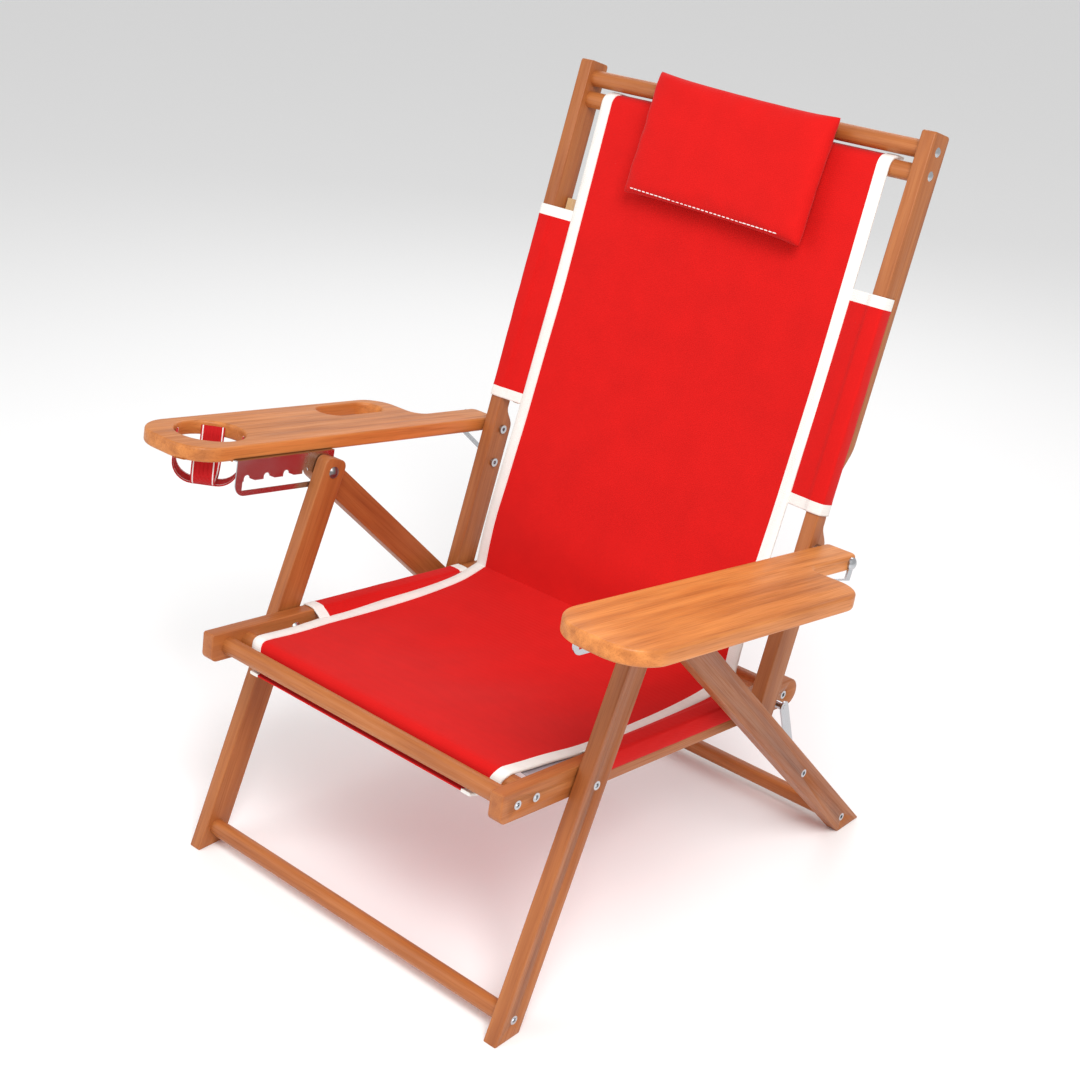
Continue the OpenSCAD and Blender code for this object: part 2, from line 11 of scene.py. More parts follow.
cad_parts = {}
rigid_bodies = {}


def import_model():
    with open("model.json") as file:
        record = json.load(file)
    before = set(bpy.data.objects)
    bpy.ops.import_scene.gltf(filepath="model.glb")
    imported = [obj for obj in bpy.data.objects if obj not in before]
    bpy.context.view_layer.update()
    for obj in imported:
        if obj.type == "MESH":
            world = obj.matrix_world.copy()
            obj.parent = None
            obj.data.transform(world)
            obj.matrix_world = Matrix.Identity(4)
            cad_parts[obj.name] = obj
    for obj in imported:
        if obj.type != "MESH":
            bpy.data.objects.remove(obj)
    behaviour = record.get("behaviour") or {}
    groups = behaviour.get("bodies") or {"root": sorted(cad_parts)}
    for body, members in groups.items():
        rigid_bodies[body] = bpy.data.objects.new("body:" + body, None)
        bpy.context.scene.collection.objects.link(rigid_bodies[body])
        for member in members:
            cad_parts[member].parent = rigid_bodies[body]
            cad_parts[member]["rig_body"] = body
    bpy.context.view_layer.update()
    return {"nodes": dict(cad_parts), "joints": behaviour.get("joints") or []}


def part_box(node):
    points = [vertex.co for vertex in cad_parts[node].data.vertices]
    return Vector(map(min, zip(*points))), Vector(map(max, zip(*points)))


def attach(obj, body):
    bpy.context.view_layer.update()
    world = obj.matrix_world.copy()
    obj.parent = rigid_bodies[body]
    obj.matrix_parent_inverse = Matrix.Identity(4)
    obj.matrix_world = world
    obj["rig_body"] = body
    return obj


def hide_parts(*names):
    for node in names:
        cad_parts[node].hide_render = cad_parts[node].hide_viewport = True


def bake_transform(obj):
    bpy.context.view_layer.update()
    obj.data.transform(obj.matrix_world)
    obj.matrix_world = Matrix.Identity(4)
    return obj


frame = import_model()
NODES = frame["nodes"]
JOINTS = {j["name"]: j for j in frame["joints"]}
SIDES = (("left", -1), ("right", 1))


# ---- Camera, lights and floor ---------------------------------------------
CAMERA_AT = Vector((1.3224, -1.5592, 1.3554))
CAMERA_AZIMUTH = math.radians(40.619)
CAMERA_DOWN = math.radians(24.430)
CAMERA_ROLL = math.radians(3.701)


def make_camera():
    level = Vector((math.cos(CAMERA_AZIMUTH), math.sin(CAMERA_AZIMUTH), 0))
    ahead = Vector((-math.sin(CAMERA_AZIMUTH) * math.cos(CAMERA_DOWN),
                    math.cos(CAMERA_AZIMUTH) * math.cos(CAMERA_DOWN), -math.sin(CAMERA_DOWN)))
    above = level.cross(ahead)
    right = level * math.cos(CAMERA_ROLL) + above * math.sin(CAMERA_ROLL)
    up = above * math.cos(CAMERA_ROLL) - level * math.sin(CAMERA_ROLL)
    data = bpy.data.cameras.new("camera")
    data.lens = 59.57
    data.sensor_width = 36
    camera = bpy.data.objects.new("camera", data)
    bpy.context.scene.collection.objects.link(camera)
    turn = Matrix((right, up, -ahead)).transposed()
    camera.matrix_world = Matrix.Translation(CAMERA_AT) @ turn.to_4x4()
    bpy.context.scene.camera = camera


def area_light(name, at, target, size, watts, color=(1, 1, 1)):
    data = bpy.data.lights.new(name, "AREA")
    data.size = size
    data.energy = watts
    data.color = color
    light = bpy.data.objects.new(name, data)
    bpy.context.scene.collection.objects.link(light)
    light.location = at
    light.rotation_euler = (Vector(target) - Vector(at)).to_track_quat("-Z", "Y").to_euler()


def make_studio():
    world = bpy.data.worlds.new("studio")
    bpy.context.scene.world = world
    world.use_nodes = True
    world.node_tree.nodes["Background"].inputs[0].default_value = (1, 1, 1, 1)
    world.node_tree.nodes["Background"].inputs[1].default_value = 0.66
    area_light("key", (1.6, -1.2, 2.6), (0, 0, 0.4), 1.3, 66)
    area_light("front", (-1.4, -2.2, 1.7), (0, 0, 0.45), 1.8, 18)
    area_light("rim", (-1.2, 1.8, 2.0), (0, 0, 0.5), 1.4, 12)
    bpy.ops.mesh.primitive_plane_add(size=60, location=(0, 0, 0))
    floor = bpy.context.object
    floor.name = "floor"
    material = new_material("floor_paint", (0.97, 0.97, 0.97), 0.8)
    floor.data.materials.append(material)
    bpy.context.scene.view_settings.view_transform = "Standard"


# ---- Materials --------------------------------------------------------------
def new_material(name, color, roughness, metallic=0.0):
    material = bpy.data.materials.new(name)
    material.use_nodes = True
    shader = material.node_tree.nodes["Principled BSDF"]
    shader.inputs["Base Color"].default_value = (*color, 1)
    shader.inputs["Roughness"].default_value = roughness
    shader.inputs["Metallic"].default_value = metallic
    return material


def add_node(material, kind, **settings):
    node = material.node_tree.nodes.new(kind)
    for key, value in settings.items():
        setattr(node, key, value)
    return node


def link(material, source, target):
    material.node_tree.links.new(source, target)


def ramp(material, source, stops):
    node = add_node(material, "ShaderNodeValToRGB")
    while len(node.color_ramp.elements) < len(stops):
        node.color_ramp.elements.new(0.5)
    for element, (place, color) in zip(node.color_ramp.elements, stops):
        element.position = place
        element.color = (*color, 1)
    link(material, source, node.inputs["Fac"])
    return node.outputs["Color"]


def mix(material, blend_type, fac, first, second):
    node = add_node(material, "ShaderNodeMix", data_type="RGBA", blend_type=blend_type)
    for socket, value in ((node.inputs[0], fac), (node.inputs[6], first), (node.inputs[7], second)):
        if hasattr(value, "default_value"):
            link(material, value, socket)
        else:
            socket.default_value = value
    return node.outputs[2]


def mapped(material, angle_x, scale, offset=(0, 0, 0)):
    """Object coordinates turned about X, so that Y runs along a board or a cloth."""
    coordinates = add_node(material, "ShaderNodeTexCoord")
    turn = add_node(material, "ShaderNodeMapping", vector_type="POINT")
    turn.inputs["Rotation"].default_value = (-angle_x, 0, 0)
    link(material, coordinates.outputs["Object"], turn.inputs["Vector"])
    stretch = add_node(material, "ShaderNodeMapping", vector_type="POINT")
    stretch.inputs["Scale"].default_value = scale
    stretch.inputs["Location"].default_value = offset
    link(material, turn.outputs["Vector"], stretch.inputs["Vector"])
    return stretch.outputs["Vector"]


def noise(material, vector, scale, detail=4, roughness=0.55, distortion=0.0):
    node = add_node(material, "ShaderNodeTexNoise")
    node.inputs["Scale"].default_value = scale
    node.inputs["Detail"].default_value = detail
    node.inputs["Roughness"].default_value = roughness
    node.inputs["Distortion"].default_value = distortion
    link(material, vector, node.inputs["Vector"])
    return node.outputs["Fac"]


def bump(material, height, strength, distance):
    node = add_node(material, "ShaderNodeBump")
    node.inputs["Strength"].default_value = strength
    node.inputs["Distance"].default_value = distance
    link(material, height, node.inputs["Height"])
    link(material, node.outputs["Normal"],
         material.node_tree.nodes["Principled BSDF"].inputs["Normal"])


def wood(name, angle_x, along_x=False, seed=0.0, tint=1.0, redden=0.0):
    """Oiled hardwood whose grain runs along the board at angle_x in the side view, or along X."""
    material = new_material(name, (0.5, 0.2, 0.05), 0.42)
    shader = material.node_tree.nodes["Principled BSDF"]
    scale = (0.5, 9, 9) if along_x else (9, 0.5, 9)
    vector = mapped(material, angle_x, scale, (seed * 3.7, seed * 1.3, seed * 2.1))
    figure = noise(material, vector, 9, 4, 0.55)
    fine = (1.2, 60, 60) if along_x else (60, 1.2, 60)
    pores = noise(material, mapped(material, angle_x, fine, (seed, seed, seed)), 11, 3, 0.6)
    dark = (0.37 * tint, 0.117 * tint, 0.025 * tint)
    middle = (0.50 * tint, 0.170 * tint, 0.038 * tint)
    light = (0.60 * tint, 0.220 * tint, 0.054 * tint)
    color = ramp(material, figure, [(0.28, dark), (0.48, middle), (0.66, light)])
    streaks = ramp(material, pores, [(0.34, (0.70, 0.62, 0.56)), (0.50, (1, 1, 1))])
    color = mix(material, "MULTIPLY", 0.5, color, streaks)
    broad = noise(material, mapped(material, angle_x, (1, 1, 1), (seed, 0, seed)), 4, 2)
    patches = ramp(material, broad, [(0.35, (0.90, 0.86, 0.82)), (0.65, (1.04, 1.04, 1.02))])
    color = mix(material, "MULTIPLY", 0.7, color, patches)
    if redden:
        color = mix(material, "MIX", redden, color, (0.30, 0.062, 0.02, 1))
    link(material, color, shader.inputs["Base Color"])
    shine = ramp(material, pores, [(0.3, (0.62,) * 3), (0.6, (0.38,) * 3)])
    link(material, shine, shader.inputs["Roughness"])
    shader.inputs["Specular IOR Level"].default_value = 0.42
    bump(material, pores, 0.08, 0.0004)
    return material


def cloth(name, color, angle_x=0.0, pitch=0.0011, rough=0.88, depth=0.18, sheen=0.06, shade=0.05):
    """Plain-woven cloth: crossed threads, soft colour variation and sheen."""
    material = new_material(name, color, rough)
    shader = material.node_tree.nodes["Principled BSDF"]
    count = 1 / pitch
    vector = mapped(material, angle_x, (count, count, count))
    waves = []
    for direction in ("X", "Y"):
        wave = add_node(material, "ShaderNodeTexWave", bands_direction=direction)
        wave.inputs["Scale"].default_value = 0.31416 / 2
        wave.inputs["Distortion"].default_value = 0.4
        link(material, vector, wave.inputs["Vector"])
        waves.append(wave.outputs["Fac"])
    weave = add_node(material, "ShaderNodeMath", operation="ADD")
    link(material, waves[0], weave.inputs[0])
    link(material, waves[1], weave.inputs[1])
    cloudy = noise(material, mapped(material, angle_x, (1, 1, 1)), 26, 4)
    low = tuple(c * (1 - shade) for c in color)
    high = tuple(min(1, c * (1 + shade * 0.5)) for c in color)
    tone = ramp(material, cloudy, [(0.3, low), (0.7, high)])
    threads = ramp(material, weave.outputs[0], [(0.0, (0.90,) * 3), (0.9, (1, 1, 1))])
    link(material, mix(material, "MULTIPLY", 0.4, tone, threads), shader.inputs["Base Color"])
    shader.inputs["Sheen Weight"].default_value = sheen
    shader.inputs["Sheen Roughness"].default_value = 0.45
    shader.inputs["Specular IOR Level"].default_value = 0.12
    bump(material, weave.outputs[0], depth, pitch * 0.4)
    return material


def metal(name, color, roughness):
    material = new_material(name, color, roughness, 1.0)
    vector = mapped(material, 0, (1, 1, 1))
    smudge = noise(material, vector, 30, 2)
    rough = ramp(material, smudge, [(0.3, (roughness * 0.9,) * 3), (0.7, (roughness * 1.15,) * 3)])
    link(material, rough, material.node_tree.nodes["Principled BSDF"].inputs["Roughness"])
    return material


# ---- Side view of the frame ----------------------------------------------------
def vec_yz(joint):
    return np.array(JOINTS[joint]["pos_m"][1:])


BACK_PIVOT = vec_yz("recline")
ARM_PIVOT = vec_yz("arm_left_recline")
SEAT_PIVOT = vec_yz("fold")
TOP_PIVOT = vec_yz("rear_fold")
UPRIGHT_ANGLE = math.radians(90 - 17.98)
RAIL_ANGLE = math.radians(-6.32)
ARM_ANGLE = math.radians(-8.82)
FRONT_LEG_ANGLE = math.atan2(TOP_PIVOT[1] - SEAT_PIVOT[1], TOP_PIVOT[0] - SEAT_PIVOT[0])
REAR_LEG_ANGLE = math.radians(-45.7)


class Line:
    """A board's own line in the side view: s along it, v out of its front or top edge."""

    def __init__(self, origin, angle):
        self.origin = np.array(origin, float)
        self.along = np.array((math.cos(angle), math.sin(angle)))
        self.out = np.array((-math.sin(angle), math.cos(angle)))
        self.angle = angle

    def at(self, s, v):
        return self.origin + self.along * s + self.out * v

    def point(self, x, s, v):
        y, z = self.at(s, v)
        return Vector((x, y, z))


UPRIGHT = Line(BACK_PIVOT, UPRIGHT_ANGLE)
RAIL_START = np.array((-0.348, 0.3006))
RAIL = Line(RAIL_START, RAIL_ANGLE)
HALF_W = 0.0185
BOARD_T = 0.019
RAIL_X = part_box("seat_rail_right")[0].x
LEG_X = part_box("back_upright_right")[0].x


# ---- Mesh helpers --------------------------------------------------------------
def new_object(name, bm, materials, smooth=True):
    mesh = bpy.data.meshes.new(name)
    bm.normal_update()
    bm.to_mesh(mesh)
    bm.free()
    obj = bpy.data.objects.new(name, mesh)
    bpy.context.scene.collection.objects.link(obj)
    for material in materials:
        mesh.materials.append(material)
    if smooth:
        mesh.polygons.foreach_set("use_smooth", [True] * len(mesh.polygons))
    return obj


def apply_modifiers(obj):
    bpy.context.view_layer.update()
    graph = bpy.context.evaluated_depsgraph_get()
    done = bpy.data.meshes.new_from_object(obj.evaluated_get(graph))
    obj.modifiers.clear()
    obj.data = done
    return obj


def grid_sheet(name, rows, thickness, materials, slot_of=None):
    """Closed cloth sheet through a grid of points: rows[i][j], given a thickness below its face."""
    bm = bmesh.new()
    verts = [[bm.verts.new(p) for p in row] for row in rows]
    for i in range(len(rows) - 1):
        for j in range(len(rows[0]) - 1):
            face = bm.faces.new((verts[i][j], verts[i][j + 1], verts[i + 1][j + 1],
                                 verts[i + 1][j]))
            if slot_of:
                face.material_index = slot_of(i, j)
    obj = new_object(name, bm, materials)
    solid = obj.modifiers.new("thickness", "SOLIDIFY")
    solid.thickness = thickness
    solid.offset = 0
    solid.use_even_offset = False
    return apply_modifiers(obj)


def run_length(points):
    return sum((b - a).length for a, b in zip(points, points[1:]))


def axis_of(node):
    low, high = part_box(node)
    return ((low.y + high.y) / 2, (low.z + high.z) / 2)


ROUND_NODES = ("seat_front_dowel", "seat_sling_dowel", "seat_rear_dowel", "link_pins",
               "back_pivot_bolts", "back_top_dowel", "back_sling_dowel", "brace_bolts",
               "front_stretcher", "seat_pivot_bolts", "top_pivot_bolts", "rear_stretcher",
               "link_bolts", "arm_bolt_left")
BORE_AXES = [axis_of(node) for node in ROUND_NODES]
BORE_REACH = 0.0068


def near_bore(vert):
    return any(math.hypot(vert.co.y - y, vert.co.z - z) < BORE_REACH for y, z in BORE_AXES)


def eased(node, width, material, segments=3):
    """Copy of a CAD board with its long edges rounded over, which stands for the node."""
    source = NODES[node]
    bm = bmesh.new()
    bm.from_mesh(source.data)
    bmesh.ops.remove_doubles(bm, verts=bm.verts, dist=1e-6)
    bmesh.ops.dissolve_limit(bm, angle_limit=math.radians(1.0), verts=bm.verts, edges=bm.edges)
    surface = BVHTree.FromBMesh(bm)
    sharp = [e for e in bm.edges if len(e.link_faces) == 2
             and e.calc_face_angle(0) > math.radians(50)
             and not (near_bore(e.verts[0]) and near_bore(e.verts[1]))]
    bmesh.ops.bevel(bm, geom=sharp, offset=width, segments=segments, profile=0.5,
                    affect="EDGES", clamp_overlap=False)
    # The bevel can throw a point far out at a tight corner: such points go back to the CAD face
    for vert in bm.verts:
        nearest, _, _, distance = surface.find_nearest(vert.co)
        if distance > width:
            vert.co = nearest
    bmesh.ops.triangulate(bm, faces=[f for f in bm.faces if len(f.verts) > 4])
    obj = new_object(node + "_board", bm, [material], smooth=False)
    mesh = obj.data
    mesh.polygons.foreach_set("use_smooth", [True] * len(mesh.polygons))
    mesh.set_sharp_from_angle(angle=math.radians(32))
    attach(obj, source["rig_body"])
    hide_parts(node)
    return obj


def paint(node, material):
    obj = NODES[node]
    obj.data.materials.clear()
    obj.data.materials.append(material)


# ---- Cloth ---------------------------------------------------------------------
def smooth_curve(knots, s):
    """Height at s on a smooth curve through the knots (s, value)."""
    xs = [k[0] for k in knots]
    ys = [k[1] for k in knots]
    n = len(xs)
    slopes = []
    for i in range(n):
        low, high = max(i - 1, 0), min(i + 1, n - 1)
        slopes.append((ys[high] - ys[low]) / (xs[high] - xs[low]))
    if s <= xs[0]:
        return ys[0]
    if s >= xs[-1]:
        return ys[-1]
    i = max(k for k in range(n - 1) if xs[k] <= s)
    h = xs[i + 1] - xs[i]
    t = (s - xs[i]) / h
    return (ys[i] * (2 * t ** 3 - 3 * t ** 2 + 1) + ys[i + 1] * (3 * t ** 2 - 2 * t ** 3)
            + h * slopes[i] * (t ** 3 - 2 * t ** 2 + t) + h * slopes[i + 1] * (t ** 3 - t ** 2))


HALF_SLING = 0.225
RED_HALF = 0.208
RED_T = 0.0008
EDGE_T = 0.0019
DOWEL_R = 0.011
SEAT_DOWEL_S = 0.057
BACK_DOWEL_S = 0.6832
CREASE_S = 0.4595
CREASE_BACK_S = 0.028
SEAT_EDGE = [(0.057, 0.0126), (0.10, 0.0105), (0.20, 0.0095), (0.30, 0.0105), (0.37, 0.0135),
             (0.42, 0.019), (0.4595, 0.030)]
BACK_EDGE = [(0.028, 0.0136), (0.06, 0.0165), (0.10, 0.0180), (0.15, 0.0165), (0.25, 0.0125),
             (0.40, 0.0105), (0.55, 0.0105), (0.64, 0.0118), (0.6832, 0.0126)]


def bell(s, low, high):
    """1 in the middle of the span, smoothly 0 at its ends."""
    if not low < s < high:
        return 0.0
    return math.sin(math.pi * (s - low) / (high - low)) ** 2


def ripple(x, s, seed):
    """Faint slack in the cloth, a fraction of a millimetre to a millimetre."""
    return (0.0007 * math.sin(x * 31 + s * 9 + seed) * math.sin(s * 23 + seed * 2)
            + 0.0005 * math.sin(x * 57 - s * 17 + seed * 3))


def bound_sheet(name, path, red, white, bare=0):
    """Closed cloth through path(x) points, with a raised white binding on both long edges.

    The argument bare, meant to leave the first rows without binding, has no effect: face() colours by
    binding alone.
    """
    steps = 44
    inner = [-RED_HALF + 2 * RED_HALF * i / steps for i in range(steps + 1)]
    edge = [(RED_HALF + 0.0004, EDGE_T), (0.2165, EDGE_T + 0.0002), (HALF_SLING - 0.001, EDGE_T),
            (HALF_SLING, EDGE_T * 0.5)]
    columns = ([(-x, t) for x, t in reversed(edge)] + [(x, RED_T) for x in inner]
               + [(x, t) for x, t in edge])
    rows = [path(x) for x, _ in columns]
    count = len(rows[0])
    bm = bmesh.new()
    uv = bm.loops.layers.uv.new("cloth")
    front, back = [], []
    lengths = []
    for (x, t), row in zip(columns, rows):
        pts = [np.array(p) for p in row]
        run = [0.0]
        for k in range(1, count):
            run.append(run[-1] + float(np.linalg.norm(pts[k] - pts[k - 1])))
        lengths.append(run)
        f, b = [], []
        for k in range(count):
            tangent = pts[min(k + 1, count - 1)] - pts[max(k - 1, 0)]
            normal = np.array((0.0, -tangent[2], tangent[1]))
            normal = normal / (np.linalg.norm(normal) + 1e-12)
            f.append(bm.verts.new(pts[k] + normal * t))
            b.append(bm.verts.new(pts[k] - normal * t))
        front.append(f)
        back.append(b)

    def face(corners, places, bound):
        made = bm.faces.new(corners)
        made.material_index = 1 if binding else 0
        for loop, place in zip(made.loops, places):
            loop[uv].uv = place

    last = len(columns) - 1
    for j in range(last):
        binding = abs((columns[j][0] + columns[j + 1][0]) / 2) > RED_HALF
        for k in range(count - 1):
            bound = binding and k >= bare
            places = [(columns[a][0], lengths[a][c]) for a, c in
                      ((j, k), (j + 1, k), (j + 1, k + 1), (j, k + 1))]
            face((front[j][k], front[j + 1][k], front[j + 1][k + 1], front[j][k + 1]),
                 places, binding)
            face((back[j][k + 1], back[j + 1][k + 1], back[j + 1][k], back[j][k]),
                 [places[3], places[2], places[1], places[0]], bound)
    for k in range(count - 1):
        for j, flip in ((0, False), (last, True)):
            corners = (front[j][k], front[j][k + 1], back[j][k + 1], back[j][k])
            face(corners[::-1] if flip else corners, [(columns[j][0], lengths[j][k])] * 4, k >= bare)
    for j in range(last):
        binding = abs((columns[j][0] + columns[j + 1][0]) / 2) > RED_HALF
        for k, flip in ((0, True), (count - 1, False)):
            corners = (front[j][k], front[j + 1][k], back[j + 1][k], back[j][k])
            face(corners[::-1] if flip else corners, [(columns[j][0], lengths[j][k])] * 4,
                 binding and not bare)
    bmesh.ops.recalc_face_normals(bm, faces=bm.faces)
    obj = new_object(name, bm, [red, white])
    obj.data.set_sharp_from_angle(angle=math.radians(50))
    middle = len(columns) // 2
    return obj, lengths[middle][-1]


SEAT_WIDTHS = [(0.0, 0.190), (0.030, 0.190), (0.046, 0.213), (0.057, 0.216), (0.12, 0.219),
               (0.18, 0.225), (0.30, 0.225)]


def seat_point(x, s, v):
    """Point of the seat sling, which narrows at the front dowel and again at its hem."""
    return RAIL.point(x * smooth_curve(SEAT_WIDTHS, s) / HALF_SLING, s, v)


def seat_path(x):
    """Seat sling at x, from its hem, up between the front dowels and back to the crease."""
    out = []
    sag = 1 - (x / HALF_SLING) ** 2
    wrap = DOWEL_R + 0.0014
    for s, v in ((0.0230, -0.0165), (0.0280, -0.0170), (0.0340, -0.0160), (0.0390, -0.0130),
                 (0.0415, -0.0085), (0.0424, -0.004)):
        out.append(seat_point(x, s, v))
    for i in range(9):
        angle = math.radians(172 - 82 * i / 8)
        out.append(seat_point(x, SEAT_DOWEL_S + wrap * math.cos(angle), wrap * math.sin(angle)))
    steps = 46
    for i in range(1, steps + 1):
        s = SEAT_DOWEL_S + (CREASE_S - SEAT_DOWEL_S) * i / steps
        v = smooth_curve(SEAT_EDGE, s) - 0.013 * sag * bell(s, 0.07, CREASE_S)
        if s < CREASE_S:
            v += ripple(x, s, 0.4) * bell(s, 0.07, CREASE_S)
        out.append(seat_point(x, s, v))
    return out


def back_path(x):
    """Back sling at x, from the crease up to the sling dowel, over it and to the rear."""
    out = []
    sag = 1 - (x / HALF_SLING) ** 2
    steps = 60
    for i in range(steps + 1):
        s = CREASE_BACK_S + (BACK_DOWEL_S - CREASE_BACK_S) * i / steps
        v = smooth_curve(BACK_EDGE, s) - 0.013 * sag * bell(s, 0.10, 0.66)
        v += 0.008 * sag * bell(s, CREASE_BACK_S, 0.16)
        v += ripple(x, s, 1.7) * bell(s, CREASE_BACK_S, 0.66)
        if i == 0:
            y, z = RAIL.at(CREASE_S, smooth_curve(SEAT_EDGE, CREASE_S))
            out.append(Vector((x, y, z)))
        else:
            out.append(UPRIGHT.point(x, s, v))
    wrap = DOWEL_R + 0.0014
    for i in range(1, 9):
        angle = math.radians(90 - 82 * i / 8)
        out.append(UPRIGHT.point(x, BACK_DOWEL_S + wrap * math.cos(angle),
                                 wrap * math.sin(angle)))
    for v in (-0.004, -0.010, -0.016):
        out.append(UPRIGHT.point(x, BACK_DOWEL_S + 0.0143, v))
    return out


def make_slings(red, white):
    seat, seat_len = bound_sheet("seat_sling_cloth", seat_path, red, white, bare=8)
    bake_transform(seat)
    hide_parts("seat_sling")
    back, back_len = bound_sheet("back_sling_cloth", back_path, red, white)
    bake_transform(back)
    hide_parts("back_sling")


def wing_points(side, line, x_in, s, start_v, kerf_v):
    """Cross-section of a wing at s: sling edge, over the board, down to and into the kerf."""
    x_out = x_in + BOARD_T
    off = 0.0011
    top = HALF_W + off
    web_x = HALF_SLING - 0.006
    pts = [(web_x, start_v - 0.0026)]
    for i in range(1, 7):
        t = i / 6
        x = web_x + (x_in - 0.0012 - web_x) * t
        drop = -0.0010 * math.sin(math.pi * t)
        pts.append((x, (start_v - 0.0026) * (1 - t) + (top - 0.0022) * t - drop))
    pts += [(x_in + 0.0006, top - 0.0004), (x_in + 0.003, top)]
    pts += [(x_in + BOARD_T / 2, top + 0.0004), (x_out - 0.003, top)]
    for i in range(5):
        angle = math.radians(78 - 78 * i / 4)
        pts.append((x_out - 0.0018 + (off + 0.0018) * math.cos(angle),
                    HALF_W - 0.0018 + (off + 0.0018) * math.sin(angle)))
    for i in range(1, 5):
        pts.append((x_out + off + 0.0006 * math.sin(math.pi * i / 4),
                    HALF_W - 0.002 + (kerf_v + 0.002 - HALF_W + 0.002) * i / 4))
    pts += [(x_out + off * 0.6, kerf_v + 0.0004), (x_out - 0.001, kerf_v),
            (x_in + 0.003, kerf_v), (x_in - 0.0006, kerf_v - 0.0003), (x_in - 0.0008, kerf_v - 0.004)]
    return [line.point(side * x, s, v) for x, v in pts]


def make_wing(name, side, line, x_in, span, binding, edge_curve, kerf_v, red, white):
    """A wing of cloth over a board, with a white binding across each end."""
    low, high = span
    steps = 34
    stations = [low - binding, low - binding + 0.0015]
    stations += [low - binding / 2, low - 0.0008, low]
    stations += [low + (high - low) * i / steps for i in range(1, steps)]
    stations += [high, high + 0.0008, high + binding / 2, high + binding - 0.0015, high + binding]
    rows = [wing_points(side, line, x_in, s, smooth_curve(edge_curve, s), kerf_v)
            for s in stations]
    for row, s in zip(rows, stations):
        if low < s < high:
            for k in range(9, len(row) - 4):
                x_shift = 0.0005 * math.sin(s * 61 + k * 0.7) * bell(s, low, high)
                row[k].x += side * abs(x_shift)
    count = len(stations)

    def is_binding(i, _j):
        return 1 if i < 4 or i >= count - 5 else 0

    across = run_length(rows[count // 2])
    obj = grid_sheet(name, rows, 0.0013, [red, white], is_binding)
    return obj, (round(across, 3), round(stations[-1] - stations[0], 3))


def bulge_binding(obj, amount):
    """Makes the bindings of a wing stand a little proud of the red cloth."""
    mesh = obj.data
    raised = set()
    for poly in mesh.polygons:
        if poly.material_index == 1:
            raised.update(poly.vertices)
    for index in raised:
        vert = mesh.vertices[index]
        vert.co = vert.co + vert.normal * amount


def make_wings(red, white):
    for label, side in SIDES:
        wing, flat = make_wing(f"seat_wing_{label}_cloth", side, RAIL, RAIL_X, (0.181, 0.436), 0.016,
                         SEAT_EDGE, -0.0036, red, white)
        bulge_binding(wing, 0.0004)
        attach(wing, "seat")
        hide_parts(f"seat_wing_{label}")
        wing, flat = make_wing(f"back_wing_{label}_cloth", side, UPRIGHT, LEG_X, (0.275, 0.519), 0.014,
                         BACK_EDGE, -0.0026, red, white)
        bulge_binding(wing, 0.0003)
        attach(wing, "back")
        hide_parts(f"back_wing_{label}")


LINING_FROM, LINING_LENGTH = 0.076, 0.096
LINING_IN, LINING_W = 0.202, 0.030


def make_linings(lining):
    """Grey lining that shows between the seat's edge and the rail, near the front."""
    for label, side in SIDES:
        rows = []
        for i in range(19):
            s = LINING_FROM + LINING_LENGTH * i / 18
            v = smooth_curve(SEAT_EDGE, s) - 0.0045
            rows.append([RAIL.point(side * (LINING_IN + LINING_W * j / 6), s,
                                    v - 0.0030 * (j / 6) ** 2) for j in range(7)])
        piece = grid_sheet(f"seat_lining_{label}", rows, 0.0007, [lining])
        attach(piece, "seat")


# ---- Pillow ----------------------------------------------------------------------
PILLOW_W, PILLOW_H, PILLOW_T = 0.290, 0.165, 0.032
PILLOW_X = 0.009
PILLOW_TURN = math.radians(-2.2)
PILLOW_S = 0.650
PILLOW_PUCKER = 0.0011
PILLOW_V = 0.015


def pillow_start():
    """Two panels sewn round their edge, a little filled, with corners drawn to points."""
    bm = bmesh.new()
    nx, ny = 56, 34
    layers = []
    for face in (1, -1):
        rows = []
        for i in range(nx + 1):
            row = []
            for j in range(ny + 1):
                u, w = 2 * i / nx - 1, 2 * j / ny - 1
                pinch_x = 1 - 0.012 * (1 - w * w)
                pinch_y = 1 - 0.020 * (1 - u * u)
                fill = ((1 - u ** 8) * (1 - w ** 8)) ** 0.4
                row.append((u * pinch_x * PILLOW_W / 2, w * pinch_y * PILLOW_H / 2,
                            face * fill * PILLOW_T * 0.36))
            rows.append(row)
        layers.append(rows)
    verts = {}

    def vert(face, i, j):
        edge = i in (0, nx) or j in (0, ny)
        key = (0 if edge else face, i, j)
        if key not in verts:
            verts[key] = bm.verts.new(layers[0 if face == 1 else 1][i][j])
        return verts[key]

    for face in (1, -1):
        for i in range(nx):
            for j in range(ny):
                corners = [vert(face, i, j), vert(face, i + 1, j), vert(face, i + 1, j + 1),
                           vert(face, i, j + 1)]
                bm.faces.new(corners if face == 1 else corners[::-1])
    return bm


def inflate(obj, pressure, cap, frames=20):
    """Cloth simulation with air pressure; no point moves further than the cap."""
    start = [v.co.copy() for v in obj.data.vertices]
    cloth_mod = obj.modifiers.new("cloth", "CLOTH")
    settings = cloth_mod.settings
    settings.quality = 8
    settings.mass = 0.15
    settings.tension_stiffness = 25
    settings.compression_stiffness = 25
    settings.bending_stiffness = 0.35
    settings.use_pressure = True
    settings.uniform_pressure_force = pressure
    settings.effector_weights.gravity = 0
    scene = bpy.context.scene
    for number in range(1, frames + 1):
        scene.frame_set(number)
    apply_modifiers(obj)
    scene.frame_set(1)
    for vert, old in zip(obj.data.vertices, start):
        move = vert.co - old
        if move.length > cap:
            vert.co = old + move * (cap / move.length)


STITCH_PITCH, STITCH_LENGTH, STITCH_HALF_W = 0.0068, 0.0042, 0.0006
STITCH_FROM_EDGE = 0.0095


